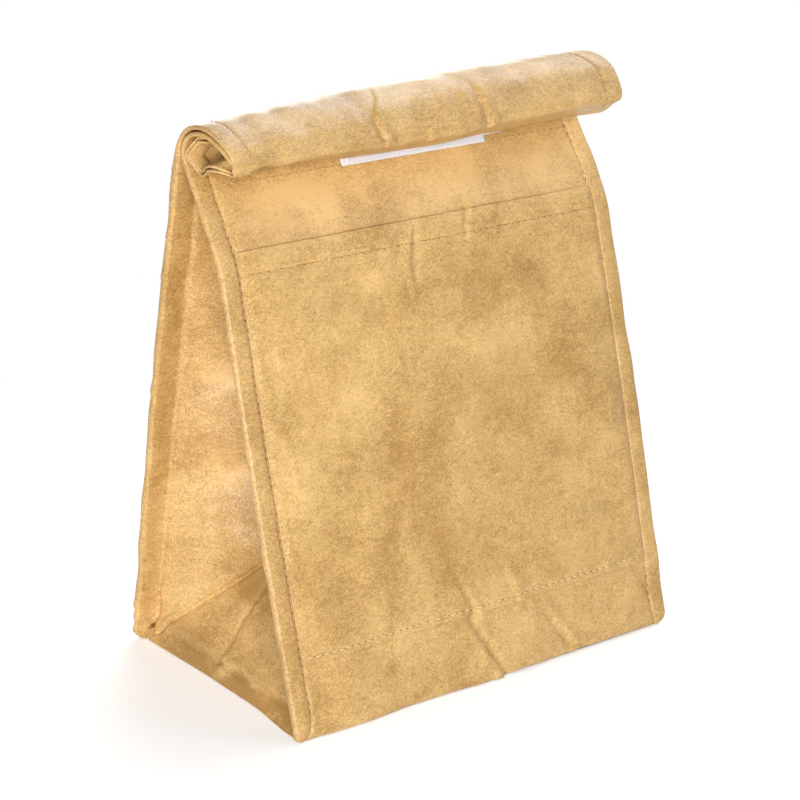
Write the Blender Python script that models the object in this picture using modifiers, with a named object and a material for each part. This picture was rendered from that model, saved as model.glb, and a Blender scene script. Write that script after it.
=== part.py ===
"""A roll-top lunch bag sewn from laminated kraft sheet, standing closed.

The bag has a front, a back, a base and two side gussets. Four seams along its upright corners stand
out sideways as flat ribs. The gussets fold inwards, the front leans back, and the mouth is rolled
forwards and held by a hook strip on a loop strip. All sizes are in metres, +Z is up, the front faces
-Y, and the origin is the middle of the base.
"""

import math

import bmesh
import bpy
from mathutils import Vector

# Bag outline
BAG_WIDTH = 0.200
BASE_DEPTH = 0.116
SHOULDER_HEIGHT = 0.1805
SHOULDER_SETBACK = 0.0556
NECK_HEIGHT = 0.2145
NECK_THICKNESS = 0.0088
BACK_SETBACK = 0.0268
PANEL_BULGE = 0.0012
# The sides stand out by this much half way between the base and the neck
WAIST_SWELL = 0.0013

# Seam ribs along the four upright corners
SEAM_WIDTH = 0.0100
SEAM_THICKNESS = 0.0036
SEAM_EDGE = 0.0011
SEAM_FOOT_RADIUS = 0.0050
SEAM_FOOT_WIDTH = 0.0085
SEAM_FOOT_HEIGHT = 0.0100
STITCH_CREASE_DEPTH = 0.0006
STITCH_CREASE_WIDTH = 0.0012
# No crease is deeper than this share of its rib, and no rounded edge larger than this one
CREASE_SHARE = 1 / 4
EDGE_SHARE = 1 / 3

# Side gussets and base
APEX_HEIGHT = 0.0493
APEX_INSET = 0.0290
BASE_BOW = 0.0060
CREASE_FOOT_Y = 0.0120
VALLEY_OPENING = 0.0012
VALLEY_ROUNDING = 0.0008
GUSSET_BULGE = 0.0022
FOLD_RADIUS = 0.0030

# Rolled mouth
ROLL_REACH = 0.0365
ROLL_RISE_LEFT = 0.0141
ROLL_RISE_RIGHT = 0.0202
# The roll's top bows up between its ends by this share of their difference in rise
ROLL_BOW = 0.28
ROLL_SEAM_GAP = 0.0010
ROLL_SEAM_GAP_SHARE = 0.3
ROLL_NOTCH = 0.0140
ROLL_NOTCH_POINTS = 3
ROLL_END_NOTCH = 0.0012
ROLL_LEG_HALF = 0.0013
LEG_TOUCHDOWN_LEFT = 0.0050
LEG_TOUCHDOWN_RIGHT = 0.0070
LEG_TOP_BELOW_NECK = 0.0015

# Front pocket
POCKET_FOOT_HEIGHT = 0.0280
POCKET_TOP_ABOVE_SHOULDER = 0.0025
POCKET_THICKNESS = 0.0009
POCKET_SIDE_CLEARANCE = 0.0004
POCKET_CLEARANCE = 0.00035

# Closure strips
STRIP_THICKNESS = 0.0009
LOOP_LENGTH = 0.0750
LOOP_CENTRE_X = 0.0080
LOOP_WIDTH = 0.0115
LOOP_FOOT_BELOW_NECK = 0.0098
HOOK_LENGTH = 0.0830
HOOK_CENTRE_X = 0.0133
HOOK_SHOWS_LOOP = 0.0026
CLEARANCE = 0.0003

# Mesh density
FACE_COLUMNS = 9
GUSSET_STEPS = 4
TRIANGLE_STEPS = 3
FOLD_STEPS = 2
FOOT_STEPS = 2
LOWER_STEPS = 5
MIDDLE_STEPS = 9
UPPER_STEPS = 4
SHEET_COLUMNS = 9
# Points round one seam rib
SEAM_POINTS = 8
SHARP_ANGLE = math.radians(35)

# The roll's middle line: how far forward of the neck, as a share of the reach, how far above it, as a
# share of the rise, and half the thickness there. It runs up, over the top, round the front edge and
# back under the roll.
ROLL_LINE_LEFT = (
    (0.005, 0.32, 0.0027), (0.066, 0.645, 0.0022), (0.178, 0.88, 0.0021), (0.342, 1.00, 0.0021),
    (0.520, 0.986, 0.0021), (0.712, 0.837, 0.0020), (0.863, 0.652, 0.0019), (0.942, 0.500, 0.0012),
    (0.990, 0.385, 0.0011), (0.960, 0.262, 0.0010), (0.860, 0.230, 0.0010), (0.731, 0.227, 0.0013),
    (0.521, 0.092, 0.0013),
)
ROLL_LINE_RIGHT = (
    (-0.041, 0.2475, 0.0027), (-0.055, 0.569, 0.0023), (0.011, 0.827, 0.0021), (0.178, 0.960, 0.0021),
    (0.389, 1.000, 0.0021), (0.616, 0.906, 0.0020), (0.762, 0.713, 0.0019), (0.872, 0.450, 0.0017),
    (0.905, 0.310, 0.0014), (0.872, 0.210, 0.0012), (0.800, 0.130, 0.0012), (0.700, 0.030, 0.0013),
    (0.542, -0.153, 0.0013),
)
# The sheet's edge inside the roll, past its leg along the front panel, on the same terms
ROLL_END_LEFT = ((0.225, 0.30, 0.0012), (0.268, 0.546, 0.0012), (0.360, 0.630, 0.0012))
ROLL_END_RIGHT = ((0.219, 0.2475, 0.0012), (0.274, 0.420, 0.0012), (0.397, 0.495, 0.0012))
# Points of the roll's line with a second section half way to the next one
ROLL_FINE_POINTS = (1, 2, 3, 5, 13)
# How far to each side of a point, counted in points, the line's direction is taken
ROLL_RUN_STEP = 0.05

# Worked out from the sizes above
HALF_WIDTH = BAG_WIDTH / 2
FRONT_FOOT_Y = -BASE_DEPTH / 2
BACK_FOOT_Y = BASE_DEPTH / 2
SHOULDER_Y = FRONT_FOOT_Y + SHOULDER_SETBACK
NECK_BACK_Y = BACK_FOOT_Y - BACK_SETBACK
NECK_FRONT_Y = NECK_BACK_Y - NECK_THICKNESS
NECK_Y = (NECK_FRONT_Y + NECK_BACK_Y) / 2
STRIP_STACK = 2 * STRIP_THICKNESS + 3 * CLEARANCE

COLLECTION = "lunch_bag"


def mix(a, b, share):
    return a + (b - a) * share


def ease(share):
    """A smooth step from 0 to 1."""
    share = min(max(share, 0.0), 1.0)
    return share * share * (3 - 2 * share)


def rise_share(z, low, high):
    """How far a height is on its way from a low mark to a high one, from 0."""
    return max(z - low, 0.0) / (high - low)


def front_line(z):
    """The front panel's outer face at a height, without its bulge."""
    if z < SHOULDER_HEIGHT:
        return mix(FRONT_FOOT_Y, SHOULDER_Y, rise_share(z, FOLD_RADIUS, SHOULDER_HEIGHT))
    return mix(SHOULDER_Y, NECK_FRONT_Y, rise_share(z, SHOULDER_HEIGHT, NECK_HEIGHT))


def back_line(z):
    """The back panel's outer face at a height, without its bulge."""
    return mix(BACK_FOOT_Y, NECK_BACK_Y, rise_share(z, FOLD_RADIUS, NECK_HEIGHT))


def widening(z):
    """How much wider the bag is at a height than at its base."""
    return 1 + WAIST_SWELL / HALF_WIDTH * math.sin(math.pi * min(z / NECK_HEIGHT, 1.0))


def bulge(x, z, top):
    """How far a panel swells between its seams and between the base and a height."""
    across = max(0.0, 1 - (x / (HALF_WIDTH - SEAM_WIDTH)) ** 2)
    return PANEL_BULGE * across * math.sin(math.pi * min(rise_share(z, FOLD_RADIUS, top), 1.0))


def front_face(x, z):
    return front_line(z) - bulge(x, z, SHOULDER_HEIGHT)


def back_face(x, z):
    return back_line(z) + bulge(x, z, NECK_HEIGHT)


def upper_front():
    """Directions in the YZ plane up the front panel above its shoulder, and out of it."""
    rise = Vector((NECK_FRONT_Y - SHOULDER_Y, NECK_HEIGHT - SHOULDER_HEIGHT)).normalized()
    return rise, Vector((-rise.y, rise.x))


def gusset_half_width():
    """Width of one half of a gusset, from its seam to its valley, which keeps its size up the bag."""
    open_half = (back_line(APEX_HEIGHT) - front_line(APEX_HEIGHT)) / 2 - SEAM_THICKNESS
    return math.hypot(open_half, APEX_INSET)


def valley_inset(open_half):
    """How deep the gusset's valley lies behind the seam where the gusset is this far open."""
    width = gusset_half_width()
    return math.sqrt(max(width * width - open_half * open_half, 0.0))


class Section:
    """One closed section of the bag: where its skins are at each x, and how its gussets fold."""

    def __init__(self, front, back):
        self.front = front
        self.back = back
        self.seam_inset = 0.0
        self.root_inset = SEAM_WIDTH
        self.seam = SEAM_THICKNESS
        self.creases = ()
        self.bulge = 0.0
        self.widening = 1.0

    def at(self, side, inset, from_front=None, from_back=None, share=None):
        """A point of the section: how far in from the side, and how far from a skin."""
        x = side * (HALF_WIDTH - inset)
        front, back = self.front(x), self.back(x)
        if from_front is not None:
            share = from_front / (back - front).length
        if from_back is not None:
            share = 1 - from_back / (back - front).length
        point = front.lerp(back, share)
        return Vector((x * self.widening, point.x, point.y))

    def seam_points(self, side, skin):
        """A seam rib from the panel's stitch crease round its edge to its root at the gusset."""
        root, edge, depth = self.root_inset, self.seam_inset, self.seam
        corner = min(SEAM_EDGE, depth * EDGE_SHARE)
        crease = min(STITCH_CREASE_DEPTH, depth * CREASE_SHARE)
        outline = (
            (root + STITCH_CREASE_WIDTH, 0.0),
            (root, crease),
            (max(root - STITCH_CREASE_WIDTH, mix(edge + corner, root, CREASE_SHARE)), 0.0),
            (edge + corner, 0.0),
            (edge, corner),
            (edge, depth - corner),
            (edge + corner, depth),
            (root, depth),
        )
        return [self.at(side, inset, **{skin: across}) for inset, across in outline]

    def side_points(self, side):
        """One side of the bag from front to back: seam rib, gusset, seam rib."""
        front_seam = self.seam_points(side, "from_front")
        back_seam = self.seam_points(side, "from_back")[::-1]
        front_crease, valley, back_crease = (self.at(side, **crease) for crease in self.creases)
        path = (
            (front_seam[-1], front_crease, GUSSET_STEPS, self.bulge),
            (front_crease, valley, TRIANGLE_STEPS, 0.0),
            (valley, back_crease, TRIANGLE_STEPS, 0.0),
            (back_crease, back_seam[0], GUSSET_STEPS, self.bulge),
        )
        points = list(front_seam)
        for start, end, steps, swell in path:
            for step in range(1, steps + 1):
                share = step / steps
                point = start.lerp(end, share)
                point.x += side * swell * math.sin(math.pi * share)
                points.append(point)
        return points + back_seam[1:]

    def face_points(self, skin):
        """The points across a panel between its two stitch creases, from left to right."""
        limit = HALF_WIDTH - self.root_inset - STITCH_CREASE_WIDTH
        columns = (limit * (2 * step / FACE_COLUMNS - 1) for step in range(1, FACE_COLUMNS))
        return [Vector((x * self.widening, *skin(x))) for x in columns]

    def ring(self):
        """The whole section, anticlockwise seen from above."""
        front = self.face_points(self.front)
        back = self.face_points(self.back)[::-1]
        return front + self.side_points(1) + back + self.side_points(-1)[::-1]


def lower_creases(z, fold_inset):
    """The three creases of the folded triangles between the base and the gusset's apex."""
    share = z / APEX_HEIGHT
    apex_y = (back_line(APEX_HEIGHT) + front_line(APEX_HEIGHT)) / 2
    apex_inset = SEAM_WIDTH + APEX_INSET
    corner_y = BASE_DEPTH / 2 - fold_inset - SEAM_THICKNESS - VALLEY_OPENING
    corner = apex_inset - VALLEY_ROUNDING
    front_y = mix(-corner_y, apex_y - VALLEY_OPENING, share)
    back_y = mix(corner_y, apex_y + VALLEY_OPENING, share)
    valley_y = mix(CREASE_FOOT_Y, apex_y, share)
    return (
        (mix(SEAM_FOOT_RADIUS, corner, share), front_y),
        (mix(BASE_BOW, apex_inset, share), valley_y),
        (mix(SEAM_FOOT_RADIUS, corner, share), back_y),
    )


def body_section(z, fold_inset=0.0):
    """A level section of the bag between its base and its neck."""
    section = Section(
        lambda x: Vector((front_face(x, z) + fold_inset, z)),
        lambda x: Vector((back_face(x, z) - fold_inset, z)),
    )
    section.widening = widening(z)
    foot = max(SEAM_FOOT_RADIUS - z, 0.0)
    section.seam_inset = SEAM_FOOT_RADIUS - math.sqrt(SEAM_FOOT_RADIUS**2 - foot**2)
    section.root_inset = mix(SEAM_FOOT_WIDTH, SEAM_WIDTH, ease(z / SEAM_FOOT_HEIGHT))
    thickness = back_line(z) - front_line(z) - 2 * fold_inset
    section.seam = min(SEAM_THICKNESS, (thickness - ROLL_SEAM_GAP) / 2)
    if z < APEX_HEIGHT:
        start, span = front_line(z) + fold_inset, thickness
        section.creases = tuple(
            {"inset": inset, "share": (y - start) / span} for inset, y in lower_creases(z, fold_inset)
        )
        section.bulge = GUSSET_BULGE * 0.5 * ease(z / APEX_HEIGHT)
        return section
    open_half = thickness / 2 - section.seam
    section.creases = valley_creases(valley_inset(open_half), thickness, open_half)
    height_share = (z - APEX_HEIGHT) / (NECK_HEIGHT - APEX_HEIGHT)
    section.bulge = GUSSET_BULGE * (0.5 + 0.5 * math.sin(math.pi * height_share)) * (1 - height_share)
    return section


def valley_creases(depth, thickness, open_half):
    """The rounded valley of a gusset that is folded flat between the panels."""
    opening = min(VALLEY_OPENING, open_half / 2) / thickness
    inset = SEAM_WIDTH + depth
    return (
        {"inset": inset - VALLEY_ROUNDING, "share": 0.5 - opening},
        {"inset": inset, "share": 0.5},
        {"inset": inset - VALLEY_ROUNDING, "share": 0.5 + opening},
    )


def roll_line(points, rise, touchdown):
    """The roll's middle line at one end of the bag, as (y, z, half thickness)."""
    def placed(outline):
        return [
            Vector((NECK_Y - forward * ROLL_REACH, NECK_HEIGHT + up * rise, half))
            for forward, up, half in outline
        ]

    before_leg, end = points
    up_panel, out_of_panel = upper_front()
    neck_front = Vector((NECK_FRONT_Y, NECK_HEIGHT))
    leg = []
    for below_neck in (touchdown, LEG_TOP_BELOW_NECK):
        foot = neck_front - up_panel * (below_neck / up_panel.y)
        centre = foot + out_of_panel * (STRIP_STACK + ROLL_LEG_HALF)
        leg.append(Vector((centre.x, centre.y, ROLL_LEG_HALF)))
    neck = Vector((NECK_Y, NECK_HEIGHT, NECK_THICKNESS / 2))
    return [neck] + placed(before_leg) + leg + placed(end)


def spline(points, place):
    """A point of the Catmull-Rom curve through these points; place counts in points."""
    index = min(int(place), len(points) - 2)
    share = place - index
    before = points[max(index - 1, 0)]
    start, end = points[index], points[index + 1]
    after = points[min(index + 2, len(points) - 1)]
    slope_start, slope_end = (end - before) / 2, (after - start) / 2
    square, cube = share**2, share**3
    return (
        start * (2 * cube - 3 * square + 1)
        + slope_start * (cube - 2 * square + share)
        + end * (3 * square - 2 * cube)
        + slope_end * (cube - square)
    )


def roll_section(left, right, place):
    """A section of the rolled mouth: level at the neck, then square to the roll's middle line.

    The last section, at the sheet's edge, lies in one plane.
    """
    def bowed_share(x):
        share = min(max((x + HALF_WIDTH) / BAG_WIDTH, 0.0), 1.0)
        return share + ROLL_BOW * math.sin(math.pi * share) ** 2

    def middle(x):
        return spline(left, place).lerp(spline(right, place), bowed_share(x))

    def across(x):
        share = 0.5 if place == len(left) - 1 else bowed_share(x)
        ahead = min(place + ROLL_RUN_STEP, len(left) - 1)
        behind = max(place - ROLL_RUN_STEP, 0.0)
        run = (spline(left, ahead) - spline(left, behind)).lerp(
            spline(right, ahead) - spline(right, behind), share
        )
        along = Vector((run.x, run.y)).normalized()
        square = Vector((along.y, -along.x))
        return Vector((1.0, 0.0)).lerp(square, min(place, 1.0)).normalized()

    def skin(x, sign):
        centre = middle(x)
        return Vector((centre.x, centre.y)) + across(x) * (sign * centre.z)

    section = Section(lambda x: skin(x, -1), lambda x: skin(x, 1))
    thickness = 2 * middle(0.0).z
    gap = min(ROLL_SEAM_GAP, ROLL_SEAM_GAP_SHARE * thickness)
    section.seam = (thickness - gap) / 2
    depth = mix(valley_inset(0.0), ROLL_NOTCH, ease(place / ROLL_NOTCH_POINTS))
    if place == len(left) - 1:
        depth = ROLL_END_NOTCH
    section.creases = valley_creases(depth, thickness, gap / 2)
    return section


def body_heights():
    """Heights of the level sections above the base's rounded fold and below the neck."""
    marks = (FOLD_RADIUS, SEAM_FOOT_HEIGHT, APEX_HEIGHT, SHOULDER_HEIGHT, NECK_HEIGHT)
    steps = (FOOT_STEPS, LOWER_STEPS, MIDDLE_STEPS, UPPER_STEPS)
    heights = []
    for low, high, count in zip(marks, marks[1:], steps):
        heights += [mix(low, high, step / count) for step in range(1, count + 1)]
    return heights[:-1]


def bag_sections():
    """Every section of the bag, from the base up to the neck and round the roll."""
    sections = []
    for step in range(FOLD_STEPS + 1):
        turn = math.pi / 2 * step / FOLD_STEPS
        sections.append(
            body_section(FOLD_RADIUS * (1 - math.cos(turn)), FOLD_RADIUS * (1 - math.sin(turn)))
        )
    sections += [body_section(z) for z in body_heights()]
    left = roll_line((ROLL_LINE_LEFT, ROLL_END_LEFT), ROLL_RISE_LEFT, LEG_TOUCHDOWN_LEFT)
    right = roll_line((ROLL_LINE_RIGHT, ROLL_END_RIGHT), ROLL_RISE_RIGHT, LEG_TOUCHDOWN_RIGHT)
    for index in range(len(left)):
        sections.append(roll_section(left, right, index))
        if index in ROLL_FINE_POINTS:
            sections.append(roll_section(left, right, index + 0.5))
    return sections


def close_mouth(mesh, row):
    """The sheet's edge inside the roll: a strip between the panels, and seam and gusset ends."""
    faces = FACE_COLUMNS - 1
    side = len(row) // 2 - faces
    front = row[-1:] + row[: faces + 1]
    back = (row[faces + side - 1 : 2 * faces + side + 1])[::-1]
    for index in range(len(front) - 1):
        mesh.faces.new((front[index], front[index + 1], back[index + 1], back[index]))
    for start in (faces, 2 * faces + side):
        points = row[start : start + side]
        mesh.faces.new(points[:SEAM_POINTS])
        mesh.faces.new(points[:1] + points[SEAM_POINTS - 1 : 1 - SEAM_POINTS] + points[-1:])
        mesh.faces.new(points[-SEAM_POINTS:])


def loft(rings):
    """A closed mesh through rings of equal length, with the last one closed as the mouth's edge."""
    mesh = bmesh.new()
    rows = [[mesh.verts.new(point) for point in ring] for ring in rings]
    count = len(rows[0])
    for low, high in zip(rows, rows[1:]):
        for index in range(count):
            following = (index + 1) % count
            mesh.faces.new((low[index], low[following], high[following], high[index]))
    mesh.faces.new(rows[0][::-1])
    close_mouth(mesh, rows[-1])
    return mesh


def material(name, colour, roughness):
    made = bpy.data.materials.new(name)
    made.use_nodes = True
    shader = made.node_tree.nodes["Principled BSDF"]
    shader.inputs["Base Color"].default_value = (*colour, 1.0)
    shader.inputs["Roughness"].default_value = roughness
    shader.inputs["Metallic"].default_value = 0.0
    return made


def add_object(name, mesh, collection, finish):
    data = bpy.data.meshes.new(name)
    mesh.to_mesh(data)
    mesh.free()
    data.shade_smooth()
    data.set_sharp_from_angle(angle=SHARP_ANGLE)
    data.materials.append(finish)
    made = bpy.data.objects.new(name, data)
    collection.objects.link(made)
    return made


def bag_body(collection, finish):
    mesh = loft([section.ring() for section in bag_sections()])
    bmesh.ops.triangulate(mesh, faces=[face for face in mesh.faces if len(face.verts) > 4])
    return add_object("bag_body", mesh, collection, finish)


def sheet(name, width, rows, place, thickness, collection, finish):
    """A thin sheet thickened forwards: a grid laid by place(x, row) at each of the rows' values."""
    mesh = bmesh.new()
    bmesh.ops.create_grid(mesh, x_segments=SHEET_COLUMNS, y_segments=len(rows) - 1, size=0.5)
    for vertex in mesh.verts:
        row = round((vertex.co.y + 0.5) * (len(rows) - 1))
        vertex.co = place(width * vertex.co.x, rows[row])
    bmesh.ops.recalc_face_normals(mesh, faces=mesh.faces)
    mesh.faces.ensure_lookup_table()
    if mesh.faces[0].normal.y > 0:
        bmesh.ops.reverse_faces(mesh, faces=mesh.faces)
    made = add_object(name, mesh, collection, finish)
    solidify = made.modifiers.new("thickness", "SOLIDIFY")
    solidify.thickness = thickness
    solidify.offset = 1.0
    solidify.use_even_offset = True
    return made


def front_pocket(collection, finish):
    """A flat outer pocket sewn over the front, from the base band to just above the shoulder."""
    top = SHOULDER_HEIGHT + POCKET_TOP_ABOVE_SHOULDER
    edge = SEAM_WIDTH + STITCH_CREASE_WIDTH + POCKET_SIDE_CLEARANCE

    def place(x, z):
        return Vector((x * widening(z), front_face(x, z) - POCKET_CLEARANCE, z))

    rows = [POCKET_FOOT_HEIGHT] + [z for z in body_heights() if POCKET_FOOT_HEIGHT < z < top] + [top]
    width = 2 * (HALF_WIDTH - edge)
    return sheet("front_pocket", width, rows, place, POCKET_THICKNESS, collection, finish)


def closure_strip(name, length, centre_x, foot, top, lift, collection, finish):
    """A fastening strip that lies along the front panel above its shoulder.

    foot and top are heights below the neck, and lift is its back face's distance from the panel.
    """
    up_panel, out_of_panel = upper_front()

    def place(x, along):
        z = NECK_HEIGHT - foot + along * up_panel.y
        seat = Vector((front_line(z), z)) + out_of_panel * lift
        return Vector((centre_x + x, seat.x, seat.y))

    width = (foot - top) / up_panel.y
    return sheet(name, length, (0.0, width / 2, width), place, STRIP_THICKNESS, collection, finish)


def closure(collection, loop_finish, hook_finish):
    up_panel, _ = upper_front()
    top = LOOP_FOOT_BELOW_NECK - LOOP_WIDTH * up_panel.y
    closure_strip(
        "loop_strip", LOOP_LENGTH, LOOP_CENTRE_X, LOOP_FOOT_BELOW_NECK, top,
        CLEARANCE, collection, loop_finish,
    )
    closure_strip(
        "hook_strip", HOOK_LENGTH, HOOK_CENTRE_X, LOOP_FOOT_BELOW_NECK - HOOK_SHOWS_LOOP, top,
        2 * CLEARANCE + STRIP_THICKNESS, collection, hook_finish,
    )


def main():
    for old in list(bpy.data.objects):
        bpy.data.objects.remove(old, do_unlink=True)
    collection = bpy.data.collections.new(COLLECTION)
    bpy.context.scene.collection.children.link(collection)
    kraft = material("kraft laminate", (0.67, 0.44, 0.18), 0.45)
    pocket = material("kraft pocket", (0.66, 0.42, 0.17), 0.47)
    loop = material("white loop pile", (0.84, 0.84, 0.88), 0.85)
    hook = material("white hook tape", (0.80, 0.79, 0.85), 0.60)
    bag_body(collection, kraft)
    front_pocket(collection, pocket)
    closure(collection, loop, hook)


main()
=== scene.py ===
"""Looks of a roll-top lunch bag in laminated kraft sheet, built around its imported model.

All sizes are in metres. The front faces -Y, +Z is up, and the origin is the middle of the base.
"""

import math

import bpy
import numpy as np
from mathutils import Matrix, Vector


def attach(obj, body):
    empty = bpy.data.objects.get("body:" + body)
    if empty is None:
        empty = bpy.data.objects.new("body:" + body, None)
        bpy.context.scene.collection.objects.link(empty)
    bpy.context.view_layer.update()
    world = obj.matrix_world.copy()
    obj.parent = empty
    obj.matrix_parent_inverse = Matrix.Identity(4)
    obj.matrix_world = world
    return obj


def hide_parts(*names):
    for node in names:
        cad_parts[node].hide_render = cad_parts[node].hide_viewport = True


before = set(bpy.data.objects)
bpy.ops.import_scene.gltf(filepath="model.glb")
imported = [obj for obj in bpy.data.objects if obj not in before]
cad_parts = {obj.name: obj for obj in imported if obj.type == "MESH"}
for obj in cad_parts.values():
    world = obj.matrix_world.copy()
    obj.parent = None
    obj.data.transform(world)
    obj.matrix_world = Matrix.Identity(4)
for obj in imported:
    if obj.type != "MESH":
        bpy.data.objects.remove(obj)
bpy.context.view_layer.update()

# Bag sizes, the same as the model's apart from the roll's notch and the lower leg's touchdown
BAG_WIDTH = 0.200
BASE_DEPTH = 0.116
SHOULDER_HEIGHT = 0.1805
SHOULDER_SETBACK = 0.0556
NECK_HEIGHT = 0.2145
NECK_THICKNESS = 0.0088
BACK_SETBACK = 0.0268
PANEL_BULGE = 0.0012
SEAM_WIDTH = 0.0100
SEAM_THICKNESS = 0.0036
SEAM_FOOT_RADIUS = 0.0050
SEAM_FOOT_WIDTH = 0.0085
SEAM_FOOT_HEIGHT = 0.0100
APEX_HEIGHT = 0.0493
APEX_INSET = 0.0290
BASE_BOW = 0.0060
CREASE_FOOT_Y = 0.0120
FOLD_RADIUS = 0.0030
ROLL_REACH = 0.0365
ROLL_RISE_LEFT = 0.0141
ROLL_RISE_RIGHT = 0.0202
ROLL_SEAM_GAP = 0.0010
ROLL_SEAM_GAP_SHARE = 0.3
ROLL_NOTCH = 0.0240
ROLL_LEG_HALF = 0.0013
LEG_TOUCHDOWN_LEFT = 0.0046
LEG_TOUCHDOWN_RIGHT = 0.0062
LEG_TOP_BELOW_NECK = 0.0015
STRIP_THICKNESS = 0.0009
CLEARANCE = 0.0003

# The roll's middle line: forward share of the reach, upward share of the rise, half thickness.
# The left end is the model's, and the right end is fitted more closely here.
ROLL_LINE_LEFT = (
    (0.005, 0.32, 0.0027), (0.066, 0.645, 0.0022), (0.178, 0.88, 0.0021), (0.342, 1.00, 0.0021),
    (0.520, 0.986, 0.0021), (0.712, 0.837, 0.0020), (0.863, 0.652, 0.0019), (0.942, 0.500, 0.0012),
    (0.990, 0.385, 0.0011), (0.960, 0.262, 0.0010), (0.860, 0.230, 0.0010), (0.731, 0.227, 0.0013),
    (0.521, 0.092, 0.0013),
)
ROLL_LINE_RIGHT = (
    (-0.041, 0.2475, 0.0027), (-0.055, 0.569, 0.0023), (0.011, 0.827, 0.0021), (0.178, 0.960, 0.0021),
    (0.389, 1.000, 0.0021), (0.616, 0.906, 0.0020), (0.762, 0.716, 0.0019), (0.880, 0.475, 0.0017),
    (0.910, 0.340, 0.0014), (0.876, 0.240, 0.0012), (0.800, 0.160, 0.0012), (0.700, 0.060, 0.0013),
    (0.560, -0.085, 0.0013),
)
ROLL_END_LEFT = ((0.225, 0.30, 0.0012), (0.268, 0.546, 0.0012), (0.360, 0.630, 0.0012))
ROLL_END_RIGHT = ((0.219, 0.2475, 0.0012), (0.274, 0.420, 0.0012), (0.397, 0.495, 0.0012))

# Finer forms of the visible sheet
SHOULDER_SOFTNESS = 0.0050
CREASE_DEPTH = 0.0009
CREASE_REACH = 0.0016
STITCH_INSET = 0.0016
FOOT_ROUNDING = 0.0012
LEFT_FOOT_RADIUS = 0.0022
END_CRUMPLE = 0.0011
RIB_PUFF = 0.00025
VALLEY_OPENING = 0.0012
VALLEY_ROUNDING = 0.0008
CREASE_GAIN = 1.8
CREASE_PATH_STEP = 0.0030
CREASE_PATH_POINTS = 6
ROLL_CREASE_LEFT = 0.4
WAIST_SWELL = 0.0013
ROLL_SWELL = 0.33
ROLL_FLARE = 0.0026
ROLL_END_LIFT = 0.0009
ROLL_SAG = 0.0015
ROLL_FRONT_PLACE = 6.0
ROLL_FRONT_REACH = 2.2
ROLL_LOWER_PLACE = 7.0
ROLL_LOWER_FADE = 3.0
ROLL_FLARE_X = 0.078
ROLL_FLARE_FADE = 0.022
ROLL_LIFT_X = 0.048
ROLL_SAG_LEFT_X = -0.060
ROLL_SAG_RIGHT_X = 0.040
ROLL_FADE = 0.030
FOOT_LIFT = 0.0007
FOOT_LIFT_X = 0.0200
FOOT_LIFT_REACH = 0.0085
FOOT_LIFT_RIGHT = 0.0003
FOOT_BULGE = 0.0012
FOOT_BULGE_X = -0.0180
FOOT_BULGE_REACH = 0.0300

# Pocket sheet
POCKET_FOOT = 0.0280
POCKET_TOP = SHOULDER_HEIGHT + 0.0025
POCKET_GAP = 0.00025
POCKET_SHEET = 0.0005
POCKET_SIDE = 0.0915
POCKET_TUCK = 0.0030
HEM_STITCH = 0.1745
HEM_LIFT = 0.00025
FOOT_STITCH = 0.0306

# Closure strips
LOOP_LENGTH = 0.0750
LOOP_CENTRE_X = 0.0080
LOOP_WIDTH = 0.0115
LOOP_FOOT_BELOW_NECK = 0.0098
HOOK_LENGTH = 0.0830
HOOK_CENTRE_X = 0.0133
HOOK_SHOWS_LOOP = 0.0012
HOOK_TURN = 0.030
LOOP_PILE = 0.00008
HOOK_PILE = 0.00004

# Sewing
STITCH_PITCH = 0.0036
STITCH_LENGTH = 0.0026
THREAD_RADIUS = 0.00025
HOLE_RADIUS = 0.00032
MOUTH_STITCH_BELOW_NECK = 0.0092

# Creases across the front, as (x, z) in mm, then width, depth and lip in mm, and the strength at
# each end. The lip stands to the right of the crease, or to the left where it is negative.
FRONT_CREASES = (
    (((-44.2, 46), (-44.7, 40.6), (-46.3, 31.9), (-47, 22)), 1.5, 0.45, 0.3, 0, 0.4),
    (((-16, 56), (-12.6, 45.6), (-6.1, 31.7), (-5, 27)), 1.7, 0.55, 0.4, 0, 1),
    (((-7.7, 27.4), (-0.3, 14.1), (8, 0)), 1.5, 0.95, -0.55, 0.5, 1),
    (((27, 30), (30.1, 23.2), (44.1, 4.1)), 1.4, 0.75, 0.45, 0.1, 0.9),
    (((-26, 60), (-22, 42), (-21, 20)), 3, 0.4, 0.25, 0, 0.3),
    (((8, 52), (14, 38), (17, 29)), 1.8, 0.4, 0.35, 0, 0.8),
    (((23.6, 184), (20.6, 177.1), (20, 171)), 1.1, 0.5, 0.25, 1, 0.2),
    (((-6.4, 176), (-8.6, 166.3), (-9, 150)), 1.6, 0.6, -0.4, 0.9, 0),
    (((62, 190), (58, 170), (60, 152)), 4, 0.4, 0.3, 0.2, 0),
    (((-74, 120), (-50, 112), (-30, 116)), 5, 0.35, 0.2, 0, 0),
    (((55, 96), (72, 84), (86, 62)), 5, 0.45, 0.3, 0, 0.5),
    (((86, 118), (74, 106), (66, 88)), 3.5, 0.4, -0.3, 0.6, 0),
)
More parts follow.
